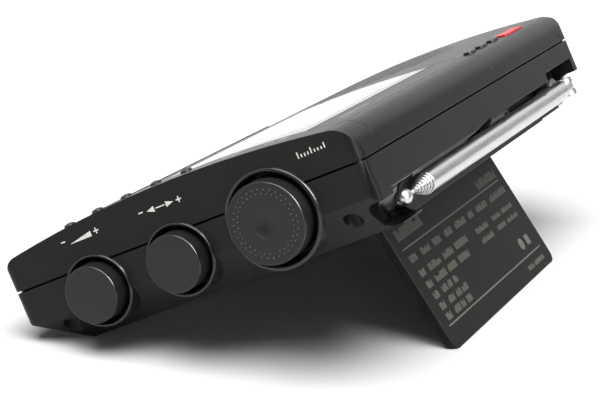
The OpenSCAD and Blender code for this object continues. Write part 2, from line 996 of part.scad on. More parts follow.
module key_switches() {
    top = key_bottom - key_travel - switch_gap;
    edge_top = edge_key_bottom - key_travel - switch_gap;
    face_board = front_board_z + board_t;
    edge_board = edge_board_z + board_t;
    color([0.12, 0.12, 0.12]) {
        for (x = digit_x, y = digit_y)
            key_switch(x, y, face_board, top);
        for (x = band_x)
            key_switch(x, band_y, face_board, top);
        for (y = page_y)
            key_switch(page_x, y, face_board, top);
        for (x = clock_x)
            key_switch(x, clock_y, edge_board, edge_top);
        key_switch(power_x, power_y, edge_board, edge_top);
    }
}

module ferrite_rod() {
    color([0.25, 0.25, 0.26])
        rod_x(4.5, -45, 55, 42.4, 10.6);
    color([0.72, 0.42, 0.2]) {
        difference() {
            rod_x(4.9, -38, -8, 42.4, 10.6);
            rod_x(4.5, -39, -7, 42.4, 10.6);
        }
    }
}

module speaker() {
    color([0.2, 0.2, 0.21])
        translate([speaker_x, speaker_y, speaker_z])
        difference() {
            union() {
                translate([0, 0, 7.4])
                    cylinder(r = speaker_r - 0.5, h = 1.3);
                translate([0, 0, 4])
                    cylinder(r1 = 18, r2 = 33, h = 3.5);
                cylinder(r = 15, h = 4.1);
            }
            translate([0, 0, 5])
                cylinder(r1 = 8, r2 = 34, h = 3.81);
        }
}

module battery_cells() {
    color([0.7, 0.55, 0.25])
        for (sx = [-1, 1], y = [bay_y0 + cell_r + 0.3, bay_y1 - cell_r - 0.3]) {
            x = sx * (cell_l / 2 + 1.1);
            rod_x(cell_r, x - cell_l / 2 + 0.2, x + cell_l / 2 - 0.2, y, door_t + cell_r + 0.35);
            rod_x(2.6, x + cell_l / 2 - 0.21, x + cell_l / 2 + 0.8, y, door_t + cell_r + 0.35);
        }
}

module battery_contacts() {
    color([0.78, 0.78, 0.8])
        for (y = [bay_y0 + cell_r + 0.3, bay_y1 - cell_r - 0.3]) {
            box([bay_x - 0.6, y - 4.5, 4], [bay_x - 0.1, y + 4.5, 14]);
            box([-bay_x + 0.1, y - 4.5, 4], [-bay_x + 0.6, y + 4.5, 14]);
            translate([-bay_x + 0.55, y, door_t + cell_r + 0.35])
                rotate([0, 90, 0])
                cylinder(r1 = 3.6, r2 = 2, h = 2.4);
        }
}

module case_screws() {
    color([0.55, 0.55, 0.57])
        for (p = screw_at)
            translate([p[0], p[1], 0])
            difference() {
                union() {
                    translate([0, 0, screw_seat_z - 1.6])
                        cylinder(r = 2.2, h = 1.6);
                    translate([0, 0, screw_seat_z - 0.01])
                        cylinder(r = 1.2, h = 14);
                }
                translate([0, 0, screw_seat_z - 1.7])
                    for (a = [0, 90])
                        rotate([0, 0, a])
                        translate([-1.2, -0.25, 0])
                        cube([2.4, 0.5, 0.9]);
            }
}

// A round socket in the left side, open to the outside
module socket(y, body, hole_r, depth) {
    difference() {
        union() {
            rod_x(body - 0.05, -half_l + 0.3, -half_l + 3.5, y, jack_z);
            box([-half_l + 2.6, y - body, jack_z - body + 0.3], [-half_l + depth, y + body, jack_z + body - 0.6]);
        }
        rod_x(hole_r, -half_l - 1, -half_l + depth - 1, y, jack_z);
    }
}

module power_jack() {
    color([0.06, 0.06, 0.06]) {
        socket(dc_y, 4, dc_r, 13);
        rod_x(0.65, -half_l + 2.5, -half_l + 12.5, dc_y, jack_z);
    }
}

module audio_jacks() {
    color([0.08, 0.08, 0.08])
        for (y = jack_y)
            socket(y, 3, jack_r, 14.5);
}

// A side switch: its slider stands in the slot and slides along y
module side_switch(y) {
    x = -half_l;
    color([0.1, 0.1, 0.1]) {
        box([x + 0.15, y - 3.2, jack_z - 1.3], [x + 1.9, y - 0.4, jack_z + 1.3]);
        box([x + 1.8, y - 3.1, jack_z - 0.8], [x + 4, y - 0.6, jack_z + 0.8]);
        for (dy = [-2.6, -1.9, -1.2])
            box([x + 0.02, y + dy, jack_z - 1.1], [x + 0.2, y + dy + 0.3, jack_z + 1.1]);
    }
}

module tone_switch() {
    side_switch(tone_y);
}

module gain_switch() {
    side_switch(gain_y);
}

rest_pose() front_cabinet();
rest_pose() rear_cabinet();
rest_pose() speaker_grille();
rest_pose() display_lens();
rest_pose() light_bar();
rest_pose() power_button();
rest_pose() clock_key(0);  // clock_key_1
rest_pose() clock_key(1);  // clock_key_2
rest_pose() clock_key(2);  // clock_key_3
rest_pose() digit_key(0);  // digit_key_1
rest_pose() digit_key(1);  // digit_key_2
rest_pose() digit_key(2);  // digit_key_3
rest_pose() digit_key(3);  // digit_key_4
rest_pose() digit_key(4);  // digit_key_5
rest_pose() digit_key(5);  // digit_key_6
rest_pose() digit_key(6);  // digit_key_7
rest_pose() digit_key(7);  // digit_key_8
rest_pose() digit_key(8);  // digit_key_9
rest_pose() digit_key(9);  // digit_key_0
rest_pose() band_key(0);  // band_key_1
rest_pose() band_key(1);  // band_key_2
rest_pose() page_key(0);  // page_key_1
rest_pose() page_key(1);  // page_key_2
rest_pose() page_key(2);  // page_key_3
rest_pose() page_key(3);  // page_key_4
rest_pose() page_key(4);  // page_key_5
rest_pose() tuning_knob();
rest_pose() fine_knob();
rest_pose() volume_knob();
rest_pose() shaft(tuning_y, tuning_z);  // tuning_shaft
rest_pose() shaft(fine_y, small_z);  // fine_shaft
rest_pose() shaft(volume_y, small_z);  // volume_shaft
rest_pose() tuning_encoder();
rest_pose() potentiometers();
rest_pose() battery_door();
rest_pose() flip_stand();
rest_pose() stand_hinge_pins();
rest_pose() aerial_swivel();
rest_pose() aerial_hinge_pin();
rest_pose() aerial_section_1();
rest_pose() aerial_section(2);  // aerial_section_2
rest_pose() aerial_section(3);  // aerial_section_3
rest_pose() aerial_section(4);  // aerial_section_4
rest_pose() aerial_section(5);  // aerial_section_5
rest_pose() aerial_section(6);  // aerial_section_6
rest_pose() aerial_section(7);  // aerial_section_7
rest_pose() aerial_tip();
rest_pose() display_module();
rest_pose() main_board();
rest_pose() key_board();
rest_pose() key_switches();
rest_pose() ferrite_rod();
rest_pose() speaker();
rest_pose() battery_cells();
rest_pose() battery_contacts();
rest_pose() case_screws();
rest_pose() power_jack();
rest_pose() audio_jacks();
rest_pose() tone_switch();
rest_pose() gain_switch();
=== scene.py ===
import json
import math
import random
import bpy
import bmesh
from mathutils import Matrix, Vector


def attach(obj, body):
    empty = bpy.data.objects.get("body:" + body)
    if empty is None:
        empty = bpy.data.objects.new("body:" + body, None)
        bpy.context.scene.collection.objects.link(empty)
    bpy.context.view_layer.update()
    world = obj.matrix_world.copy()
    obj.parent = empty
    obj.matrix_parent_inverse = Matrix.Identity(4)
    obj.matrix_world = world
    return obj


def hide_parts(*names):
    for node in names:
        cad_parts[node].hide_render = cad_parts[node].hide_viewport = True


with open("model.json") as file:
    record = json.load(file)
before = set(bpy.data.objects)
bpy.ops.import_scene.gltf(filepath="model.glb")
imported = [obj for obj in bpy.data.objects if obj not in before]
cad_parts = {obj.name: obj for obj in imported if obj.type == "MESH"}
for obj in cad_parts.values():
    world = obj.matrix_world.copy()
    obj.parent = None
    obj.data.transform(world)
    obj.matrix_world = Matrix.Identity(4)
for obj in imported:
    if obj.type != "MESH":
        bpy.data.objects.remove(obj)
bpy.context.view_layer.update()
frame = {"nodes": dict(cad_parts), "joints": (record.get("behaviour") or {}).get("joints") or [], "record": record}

MM = 0.001
NODES = frame["nodes"]
JOINTS = {j["name"]: j for j in frame["joints"]}
random.seed(7)

# The radio's own directions, in millimetres: u to the knob side, v to the top edge, w to the
# face, with w = 0 on the back. The tuning knob's pivot ties them to the row frame.
LEAN = math.radians(25.13)
TUNING = Vector((95.0, 27.2, 13.9))
RADIO = Matrix.Rotation(LEAN, 4, "X")
RADIO.translation = Vector(JOINTS["tuning_turn"]["pos_m"]) - RADIO @ (TUNING * MM)

# Half the cabinet's length and height, and the face's crown: its radius, top and middle
HALF_L, HALF_H = 93.5, 57.0
CROWN_R, CROWN_Z, CROWN_V = 370.0, 33.3, 1.0

# The stand: its hinge line, the depth of its outer face, how far it is open, and its knob end
HINGE_V, HINGE_W, STAND_FACE = 33.05, 1.9, 1.75
STAND_OPEN = math.radians(100)
STAND_END = 53.9

# The folded aerial's own line
AERIAL_V, AERIAL_W = 54.0, 5.4

# Each knob: the v and w of its middle, its radius, its well's radius and the well's collar
KNOBS = {
    "volume": (-30.3, 12.65, 8.05, 9.2, 10.3),
    "fine": (-2.9, 12.65, 8.05, 9.2, 10.3),
    "tuning": (27.2, 13.9, 11.1, 12.3, 13.8),
}
KNOB_FACE = 98.7


def radio(u, v, w):
    """A point of the radio's own frame, in millimetres, as a point of the row frame in metres."""
    return RADIO @ (Vector((u, v, w)) * MM)


def crown(v):
    """The face's height at v."""
    return CROWN_Z - CROWN_R + math.sqrt(CROWN_R**2 - (v - CROWN_V) ** 2)


# ---------------------------------------------------------------- materials

# Where a noise texture's useful values lie, how far the gloss of plastic wanders, how much
# glossier a rubbed edge is, and the roughness of a clear coat
NOISE_LOW, NOISE_HIGH = 0.3, 0.7
GLOSS_SWING, EDGE_GLOSS = 0.02, 0.12
COAT_ROUGHNESS = 0.08

# How many degrees an edge of a CAD part turns before it is shaded sharp
CAD_CREASE = 28


class Nodes:
    """Short names for building one node tree."""

    def __init__(self, name):
        self.mat = bpy.data.materials.new(name)
        self.mat.use_nodes = True
        self.tree = self.mat.node_tree
        self.bsdf = self.tree.nodes["Principled BSDF"]
        self.coords = self.add("ShaderNodeTexCoord").outputs["Object"]

    def add(self, kind, **values):
        n = self.tree.nodes.new(kind)
        for k, v in values.items():
            setattr(n, k, v)
        return n

    def link(self, a, b):
        self.tree.links.new(a, b)

    def noise(self, scale, detail=3.0, rough=0.55, stretch=None):
        n = self.add("ShaderNodeTexNoise")
        n.inputs["Scale"].default_value = scale
        n.inputs["Detail"].default_value = detail
        n.inputs["Roughness"].default_value = rough
        source = self.coords
        if stretch:
            m = self.add("ShaderNodeMapping")
            m.inputs["Scale"].default_value = stretch
            self.link(self.coords, m.inputs["Vector"])
            source = m.outputs["Vector"]
        self.link(source, n.inputs["Vector"])
        return n.outputs["Fac"]

    def voronoi(self, scale):
        n = self.add("ShaderNodeTexVoronoi")
        n.inputs["Scale"].default_value = scale
        self.link(self.coords, n.inputs["Vector"])
        return n.outputs["Distance"]

    def spread(self, value, low, high, to_low=0.0, to_high=1.0):
        n = self.add("ShaderNodeMapRange")
        for name, x in zip(("From Min", "From Max", "To Min", "To Max"), (low, high, to_low, to_high)):
            n.inputs[name].default_value = x
        self.link(value, n.inputs["Value"])
        return n.outputs["Result"]

    def math(self, op, a, b):
        n = self.add("ShaderNodeMath", operation=op)
        for i, x in enumerate((a, b)):
            if isinstance(x, (int, float)):
                n.inputs[i].default_value = x
            else:
                self.link(x, n.inputs[i])
        return n.outputs[0]

    def mix(self, fac, a, b):
        n = self.add("ShaderNodeMix", data_type="RGBA")
        for i, x in ((6, a), (7, b)):
            if isinstance(x, tuple):
                n.inputs[i].default_value = (*x[:3], 1.0)
            else:
                self.link(x, n.inputs[i])
        self.link(fac, n.inputs[0])
        return n.outputs[2]

    def soft_edges(self, radius):
        """The normal rounded over the edges, and how much of an edge each point is."""
        b = self.add("ShaderNodeBevel", samples=6)
        b.inputs["Radius"].default_value = radius
        g = self.add("ShaderNodeNewGeometry")
        d = self.add("ShaderNodeVectorMath", operation="DOT_PRODUCT")
        self.link(b.outputs[0], d.inputs[0])
        self.link(g.outputs["Normal"], d.inputs[1])
        return b.outputs[0], self.spread(d.outputs["Value"], 0.985, 0.8)

    def bump(self, height, distance, strength, normal=None):
        n = self.add("ShaderNodeBump")
        n.inputs["Strength"].default_value = strength
        n.inputs["Distance"].default_value = distance
        self.link(height, n.inputs["Height"])
        if normal:
            self.link(normal, n.inputs["Normal"])
        return n.outputs["Normal"]


def moulded(name, color, rough, grain=2600.0, depth=0.00003, edge=0.0003, wear=2.2, specular=0.5,
            coat=0.0, blotch=0.12):
    """Moulded plastic: a spark-eroded grain, faint blotches, and edges rubbed paler and glossier."""
    n = Nodes(name)
    normal, edges = n.soft_edges(edge)
    fine = n.noise(grain, 2.0, 0.6)
    cells = n.voronoi(grain * 0.8)
    tone = n.spread(n.noise(55.0, 4.0, 0.6), NOISE_LOW, NOISE_HIGH, 1 - blotch, 1 + blotch)
    pale = tuple(min(1.0, c * wear) for c in color)
    base = n.mix(n.math("MULTIPLY", edges, n.spread(fine, 0.35, 0.65, 0.3, 0.9)), color, pale)
    shade = n.add("ShaderNodeMix", data_type="RGBA", blend_type="MULTIPLY")
    shade.inputs[0].default_value = 1.0
    n.link(base, shade.inputs[6])
    n.link(tone, shade.inputs[7])
    n.link(shade.outputs[2], n.bsdf.inputs["Base Color"])
    gloss = n.spread(n.noise(320.0), NOISE_LOW, NOISE_HIGH, rough - GLOSS_SWING, rough + GLOSS_SWING)
    n.link(n.math("SUBTRACT", gloss, n.math("MULTIPLY", edges, EDGE_GLOSS)), n.bsdf.inputs["Roughness"])
    n.bsdf.inputs["Specular IOR Level"].default_value = specular
    n.bsdf.inputs["Coat Weight"].default_value = coat
    n.bsdf.inputs["Coat Roughness"].default_value = COAT_ROUGHNESS
    height = n.math("ADD", fine, n.math("MULTIPLY", cells, 0.7))
    n.link(n.bump(height, depth, 0.35, normal), n.bsdf.inputs["Normal"])
    return n.mat


def metal(name, color, rough, lines=(1, 1, 1), edge=0.00015):
    """Bare or plated metal, with a faint lay of polishing lines and a little uneven gloss."""
    n = Nodes(name)
    n.bsdf.inputs["Metallic"].default_value = 1.0
    normal, _ = n.soft_edges(edge)
    lay = n.noise(900.0, 3.0, 0.6, lines)
    n.link(n.mix(n.spread(n.noise(70.0), NOISE_LOW, NOISE_HIGH), color, tuple(c * 0.9 for c in color)),
           n.bsdf.inputs["Base Color"])
    n.link(n.spread(lay, NOISE_LOW, NOISE_HIGH, rough * 0.85, rough * 1.2), n.bsdf.inputs["Roughness"])
    n.link(n.bump(lay, 0.000002, 0.08, normal), n.bsdf.inputs["Normal"])
    return n.mat


def ink(name, color, rough=0.5, fade=0.25, specular=0.3, coat=0.0):
    """Pad-printed ink, thinner in places so that its tone wanders."""
    n = Nodes(name)
    thin = n.spread(n.noise(1400.0, 4.0), 0.35, 0.7)
    n.link(n.mix(thin, color, tuple(c * (1 - fade) for c in color)), n.bsdf.inputs["Base Color"])
    n.bsdf.inputs["Roughness"].default_value = rough
    n.bsdf.inputs["Specular IOR Level"].default_value = specular
    n.bsdf.inputs["Coat Weight"].default_value = coat
    n.link(n.bump(n.noise(5000.0, 2.0), 0.00001, rough * 0.6), n.bsdf.inputs["Normal"])
    return n.mat


def display_glass(name, color):
    """The pale green-grey glass of a liquid crystal display, with its faint reflector streaks."""
    n = Nodes(name)
    streak = n.noise(500.0, 3.0, 0.5, (0.15, 1, 1))
    n.link(n.mix(n.spread(streak, NOISE_LOW, NOISE_HIGH), color, tuple(c * 0.82 for c in color)),
           n.bsdf.inputs["Base Color"])
    n.bsdf.inputs["Roughness"].default_value = 0.12
    n.bsdf.inputs["Coat Weight"].default_value = 0.8
    n.bsdf.inputs["Coat Roughness"].default_value = 0.03
    n.link(n.bump(streak, 0.00001, 0.15), n.bsdf.inputs["Normal"])
    return n.mat


MATERIALS = {
    "front_shell": moulded("front_shell", (0.0105, 0.0104, 0.0102), 0.3, specular=0.15),
    "rear_shell": moulded("rear_shell", (0.0105, 0.0104, 0.0102), 0.36, specular=0.16),
    "grille": moulded("grille", (0.012, 0.012, 0.012), 0.42, edge=0.00012),
    "lens": moulded("lens", (0.008, 0.008, 0.0085), 0.07, grain=900.0, depth=0.000004, wear=1.5,
                    specular=0.55, coat=0.6, edge=0.0002, blotch=0.05),
    "key": moulded("key", (0.02, 0.02, 0.0205), 0.5, edge=0.0004),
    "grey_key": moulded("grey_key", (0.06, 0.06, 0.063), 0.5, edge=0.0004),
    "small_key": moulded("small_key", (0.008, 0.008, 0.008), 0.42, edge=0.0003),
    "red_key": moulded("red_key", (0.8, 0.018, 0.014), 0.34, edge=0.0004, wear=1.3, blotch=0.08),
    "knob": moulded("knob", (0.0115, 0.0114, 0.0112), 0.42, edge=0.00035, specular=0.32),
    "stand": moulded("stand", (0.006, 0.0062, 0.006), 0.42, edge=0.0005, wear=3.0, specular=0.13),
    "swivel": metal("swivel", (0.4, 0.39, 0.37), 0.4),
    "display": display_glass("display", (0.5, 0.54, 0.45)),
    "board": moulded("board", (0.02, 0.13, 0.06), 0.35, wear=1.2, coat=0.4),
    "component_plastic": moulded("component_plastic", (0.015, 0.015, 0.015), 0.35),
    "speaker": moulded("speaker", (0.03, 0.03, 0.032), 0.55),
    "ferrite": moulded("ferrite", (0.05, 0.05, 0.053), 0.6, depth=0.00006, wear=1.6),
    "cell": moulded("cell", (0.42, 0.26, 0.06), 0.3, wear=1.2, coat=0.3),
    "steel": metal("steel", (0.5, 0.5, 0.52), 0.3),
    "component_metal": metal("component_metal", (0.5, 0.5, 0.52), 0.35),
    "chrome": metal("chrome", (0.66, 0.66, 0.67), 0.27, lines=(0.05, 1, 1)),
}
SLOT_OF = {s["node"]: s["material_slot"] for s in frame["record"]["subparts"]}
for node, obj in NODES.items():
    obj.data.materials.clear()
    obj.data.materials.append(MATERIALS[SLOT_OF[node]])
    for poly in obj.data.polygons:
        poly.use_smooth = True
    obj.data.set_sharp_from_angle(angle=math.radians(CAD_CREASE))

INK = ink("pale_ink", (0.74, 0.78, 0.68))
FAINT_INK = ink("faint_ink", (0.17, 0.185, 0.145))
LEGEND_INK = ink("legend_ink", (0.5, 0.52, 0.48))
SEGMENT_INK = ink("segment_ink", (0.03, 0.035, 0.03), 0.06, specular=0.5, coat=0.8)
# A near-black plastic that barely reflects: painted shade for the case seam's gap and the relief.
SHADE_BLACK = moulded("painted_shade_black", (0.002, 0.002, 0.002), 0.85, specular=0.05, wear=1.1, edge=0.0001)
POLISHED = moulded("polished_rim", (0.006, 0.006, 0.006), 0.2, depth=0.000004, specular=0.55,
                   edge=0.00008)
# A near-black glossy plastic, darker than the case: painted shade lining the hollow under the aerial's tip.
SHADE_GLOSS = moulded("painted_shade_gloss", (0.004, 0.004, 0.004), 0.16, depth=0.000001, specular=0.22)


# ---------------------------------------------------------------- making pieces


def finish_piece(name, bm, material, body, smooth=35):
    """Makes an object of bm that rides on body, with edges of over smooth degrees shaded sharp."""
    bmesh.ops.recalc_face_normals(bm, faces=bm.faces)
    mesh = bpy.data.meshes.new(name)
    bm.to_mesh(mesh)
    bm.free()
    obj = bpy.data.objects.new(name, mesh)
    bpy.context.scene.collection.objects.link(obj)
    mesh.materials.append(material)
    for poly in mesh.polygons:
        poly.use_smooth = True
    mesh.set_sharp_from_angle(angle=math.radians(smooth))
    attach(obj, body)
    return obj


def lathe_x(bm, v, w, profile, steps=128, closed=False):
    """Turns a profile of (u, radius) about the line through (v, w) along u."""
    rings = []
    for u, r in profile:
        if r < 1e-6:
            rings.append([bm.verts.new(radio(u, v, w))])
            continue
        rings.append([
            bm.verts.new(radio(u, v + r * math.cos(2 * math.pi * i / steps),
                               w + r * math.sin(2 * math.pi * i / steps)))
            for i in range(steps)
        ])
    if closed:
        rings.append(rings[0])
    for a, b in zip(rings, rings[1:]):
        for i in range(steps):
            j = (i + 1) % steps
            if len(a) == 1:
                bm.faces.new((a[0], b[i], b[j]))
            elif len(b) == 1:
                bm.faces.new((a[i], b[0], a[j]))
            else:
                bm.faces.new((a[i], b[i], b[j], a[j]))


def slab(bm, outline, place, low, high, cut=2.0):
    """A thin raised mark. outline is [(a, b)], place maps (a, b, height) to a point, and cut is the
    longest stretch that isn't divided, so that long sides follow a curved surface."""
    points = []
    for (a0, b0), (a1, b1) in zip(outline, outline[1:] + outline[:1]):
        n = max(1, math.ceil(math.hypot(a1 - a0, b1 - b0) / cut))
        points += [(a0 + (a1 - a0) * i / n, b0 + (b1 - b0) * i / n) for i in range(n)]
    top = [bm.verts.new(place(a, b, high)) for a, b in points]
    bottom = [bm.verts.new(place(a, b, low)) for a, b in points]
    bm.faces.new(top)
    bm.faces.new(bottom[::-1])
    for i in range(len(top)):
        j = (i + 1) % len(top)
        bm.faces.new((top[i], bottom[i], bottom[j], top[j]))


def rect(a0, b0, a1, b1):
    return [(a0, b0), (a1, b0), (a1, b1), (a0, b1)]


def plus(a, b, size, t):
    s, h = size / 2, t / 2
    corners = ((-s, -h), (-h, -h), (-h, -s), (h, -s), (h, -h), (s, -h),
               (s, h), (h, h), (h, s), (-h, s), (-h, h), (-s, h))
    return [(a + x, b + y) for x, y in corners]


def disc(a, b, r, n=24):
    turns = [2 * math.pi * i / n for i in range(n)]
    return [(a + r * math.cos(t), b + r * math.sin(t)) for t in turns]


def marks(name, outlines, place, material, body, low=-0.03, high=0.03, cut=2.0):
    bm = bmesh.new()
    for outline in outlines:
        slab(bm, outline, place, low, high, cut)
    return finish_piece(name, bm, material, body)


CAP_TO_SIZE = 1.38  # the font's size for each millimetre of a numeral's height


def numerals(name, words, place, material, body, high=0.03):
    """Numbers from Blender's own plain font: words is [(text, a, b, height)], each centred."""
    bm = bmesh.new()
    for text, a, b, size in words:
        curve = bpy.data.curves.new("numeral", "FONT")
        curve.body, curve.size, curve.extrude = text, size * CAP_TO_SIZE, 0.5
        curve.align_x, curve.align_y = "CENTER", "CENTER"
        holder = bpy.data.objects.new("numeral", curve)
        part = bmesh.new()
        part.from_mesh(holder.to_mesh())
        for vert in part.verts:
            vert.co = place(a + vert.co.x, b + vert.co.y, high if vert.co.z > 0 else -high)
        bmesh.ops.remove_doubles(part, verts=part.verts, dist=1e-7)
        mesh = bpy.data.meshes.new("part")
        part.to_mesh(mesh)
        bm.from_mesh(mesh)
        part.free()
        bpy.data.meshes.remove(mesh)
        bpy.data.objects.remove(holder)
        bpy.data.curves.remove(curve)
    return finish_piece(name, bm, material, body)


def on_side(a, b, h):
    """On the knob end: a is v and b is w."""
    return radio(HALF_L + h, a, b)


def on_face(a, b, h):
    """Over the crowned face: a is u and b is v."""
    return radio(a, b, crown(b) + h)


def on_stand(a, b, h):
    """a runs from the knob end, b from the hinge to the foot, over the stand's outer face."""
    y, z = -b, -STAND_FACE - h
    return radio(STAND_END - a, HINGE_V + y * math.cos(STAND_OPEN) - z * math.sin(STAND_OPEN),
                 HINGE_W + y * math.sin(STAND_OPEN) + z * math.cos(STAND_OPEN))


def over_key(rise):
    """As on_face, but over a key that stands rise above the face."""
    return lambda a, b, h: radio(a, b, crown(b) + rise + h)


# ---------------------------------------------------------------- wells and knobs

# The well's rim: a half round bead on the collar, and how deep its root goes into the well
RIM_RISE, RIM_INSET, RIM_ROOT = 0.75, 0.03, 0.7
# The knob's polished edge: its radius, and how far it stands out of the knob's side
EDGE_R, EDGE_PROUD = 0.62, 0.015

for knob, (v, w, r, well, collar) in KNOBS.items():
    bm = bmesh.new()
    middle, half = (well + collar) / 2, (collar - well) / 2
    crest = [(HALF_L + 0.02 + RIM_RISE * math.sin(t), middle + (half - RIM_INSET) * math.cos(t))
             for t in (math.radians(180 - 15 * i) for i in range(13))]
    root = [(HALF_L - 0.1, collar - RIM_INSET), (HALF_L - 0.1, well + 0.2)]
    lathe_x(bm, v, w, [(HALF_L - RIM_ROOT, well + 0.02)] + crest + root, closed=True)
    finish_piece(f"{knob}_well_rim", bm, POLISHED, "cabinet", smooth=60)
    bm = bmesh.new()
    edge = [(KNOB_FACE - EDGE_R + EDGE_R * math.sin(t), r - EDGE_R + (EDGE_R + EDGE_PROUD) * math.cos(t))
            for t in (math.radians(-8 + 106 * i / 10) for i in range(11))]
    lathe_x(bm, v, w, [(KNOB_FACE - 0.7, r - 0.3)] + edge + [(KNOB_FACE - 0.12, r - 0.75)], closed=True)
    finish_piece(f"{knob}_knob_edge", bm, POLISHED, f"{knob}_knob")

# Two rings of small raised dots on the tuning knob's face, half a step apart
DOT_R, DOT_COUNT, DOT_SUNK, DOT_FLAT = 0.3, 34, 0.08, 0.8
bm = bmesh.new()
for ring_r, offset in ((7.95, 0.0), (9.05, 0.5)):
    for i in range(DOT_COUNT):
        t = 2 * math.pi * (i + offset) / DOT_COUNT
        centre = Vector((KNOB_FACE - DOT_SUNK, TUNING[1] + ring_r * math.cos(t),
                         TUNING[2] + ring_r * math.sin(t)))
        made = bmesh.ops.create_icosphere(bm, subdivisions=2, radius=DOT_R)
        for vert in made["verts"]:
            co = centre + Vector((vert.co.x * DOT_FLAT, vert.co.y, vert.co.z))
            vert.co = radio(*co)
finish_piece("tuning_knob_dots", bm, POLISHED, "tuning_knob")


# ---------------------------------------------------------------- seam and notch

# The near-black strip in the case seam, painted shade for the dark gap: its height, half its width,
# how far in it lies, its thickness, how far it stops before a corner and how far before a knob's collar
SEAM_W, SEAM_HALF, SEAM_IN, SEAM_T, SEAM_CORNER, SEAM_CLEAR = 19.8, 0.27, 0.9, 0.12, 2.0, 0.4


def strip(bm, path, inward, low, high):
    """A thin upright strip along path, a list of (u, v). inward says how thick it is at each point."""
    outer = [[bm.verts.new(radio(u, v, w)) for u, v in path] for w in (low, high)]
    inner = [[bm.verts.new(radio(u + du, v + dv, w)) for (u, v), (du, dv) in zip(path, inward)]
             for w in (low, high)]
    rows = (outer[0], outer[1], inner[1], inner[0], outer[0])
    for i in range(len(path) - 1):
        for a, b in zip(rows, rows[1:]):
            bm.faces.new((a[i], a[i + 1], b[i + 1], b[i]))
    for i in (0, -1):
        bm.faces.new((outer[0][i], outer[1][i], inner[1][i], inner[0][i]))


bm = bmesh.new()
side_u, side_v = HALF_L - SEAM_IN, HALF_H - SEAM_IN
runs = [([(-side_u + SEAM_CORNER, side_v), (side_u - SEAM_CORNER, side_v)], (0, -SEAM_T)),
        ([(-side_u + SEAM_CORNER, -side_v), (side_u - SEAM_CORNER, -side_v)], (0, SEAM_T)),
        ([(-side_u, -side_v + SEAM_CORNER), (-side_u, side_v - SEAM_CORNER)], (SEAM_T, 0))]
stops = [-side_v + SEAM_CORNER]
for v, w, _, _, collar in KNOBS.values():
    reach = math.sqrt(collar**2 - (SEAM_W - w) ** 2) + SEAM_CLEAR
    stops += [v - reach, v + reach]
stops += [side_v - SEAM_CORNER]
runs += [([(side_u, a), (side_u, b)], (-SEAM_T, 0)) for a, b in zip(stops[::2], stops[1::2])]
for path, inward in runs:
    strip(bm, path, [inward] * 2, SEAM_W - SEAM_HALF, SEAM_W + SEAM_HALF)
# A near-black strip inside the seam's gap: painted shade.
finish_piece("seam_painted_shade", bm, SHADE_BLACK, "cabinet")

# The near-black glossy liner of the hollow under the aerial's tip, painted shade that darkens the
# recess: its ends, middle, radius and thickness, and how far its lip runs out along the back
NOTCH_U0, NOTCH_U1, NOTCH_V, NOTCH_W, NOTCH_R, NOTCH_T = 66.6, 83.2, 54.5, 5.0, 4.92, 0.35
NOTCH_LIP = 1.5
# The relief through the end block beside it: its radius and its near-black lining, painted shade, and the bevel
# that it ends at
RELIEF_R, RELIEF_T, RELIEF_GAP = 2.98, 0.12, 0.05
BEVEL_TOP, BEVEL_RUN = 10.3, 11.2


def shell(bm, outer, inner):
    """A closed thin shell between two grids of points of the same size."""
    grids = [[[bm.verts.new(radio(*co)) for co in row] for row in grid] for grid in (outer, inner)]
    rows, cols = len(outer), len(outer[0])
    for i in range(rows - 1):
        for j in range(cols - 1):
            for g in grids:
                bm.faces.new((g[i][j], g[i][j + 1], g[i + 1][j + 1], g[i + 1][j]))
    rim = ([(0, j) for j in range(cols)] + [(i, cols - 1) for i in range(1, rows)]
           + [(rows - 1, j) for j in range(cols - 2, -1, -1)] + [(i, 0) for i in range(rows - 2, 0, -1)])
    for (i, j), (k, m) in zip(rim, rim[1:] + rim[:1]):
        bm.faces.new((grids[0][i][j], grids[0][k][m], grids[1][k][m], grids[1][i][j]))


def notch_row(t, r, out):
    """One row of the hollow along u, at angle t, or out along the lip, whose far end is rounded."""
    half = (NOTCH_U1 - NOTCH_U0) / 2
    row = []
    for x in (i / 8 - 1 for i in range(17)):
        if out:
            v, w = NOTCH_V + out * NOTCH_LIP * (1 - abs(min(x, 0)) ** 5), NOTCH_W - r
        else:
            v, w = NOTCH_V + r * math.cos(math.radians(t)), NOTCH_W + r * math.sin(math.radians(t))
        row.append((NOTCH_U0 + half * (1 + x), v, w))
    return row


bm = bmesh.new()
turns = [(95 + 8.75 * i, 0) for i in range(21)] + [(270, i / 3) for i in (1, 2, 3)]
shell(bm, *([notch_row(t, r, out) for t, out in turns] for r in (NOTCH_R, NOTCH_R - NOTCH_T)))
# Painted shade: a near-black glossy liner that darkens the hollow.
finish_piece("notch_painted_shade", bm, SHADE_GLOSS, "cabinet", smooth=40)


def relief_grid(r):
    """The relief's near-black lining, painted shade: an arc over the aerial that runs straight down to the back,
    along u.
    """
    arc = [math.radians(100 + 10 * i) for i in range(9)]
    path = [(AERIAL_V + r * math.cos(t), AERIAL_W + r * math.sin(t)) for t in arc]
    path += [(AERIAL_V - r, w) for w in (4.0, 2.6, 1.3)]
    start = NOTCH_U1 + RELIEF_GAP
    grid = []
    for v, w in path:
        end = HALF_L - (BEVEL_TOP - w) * BEVEL_RUN / BEVEL_TOP - 0.1
        grid.append([(start + (end - start) * i / 4, v, w) for i in range(5)])
    return grid


bm = bmesh.new()
shell(bm, relief_grid(RELIEF_R), relief_grid(RELIEF_R - RELIEF_T))
# Painted shade: a near-black liner that darkens the relief.
finish_piece("relief_painted_shade", bm, SHADE_BLACK, "cabinet", smooth=40)


# ---------------------------------------------------------------- printed marks

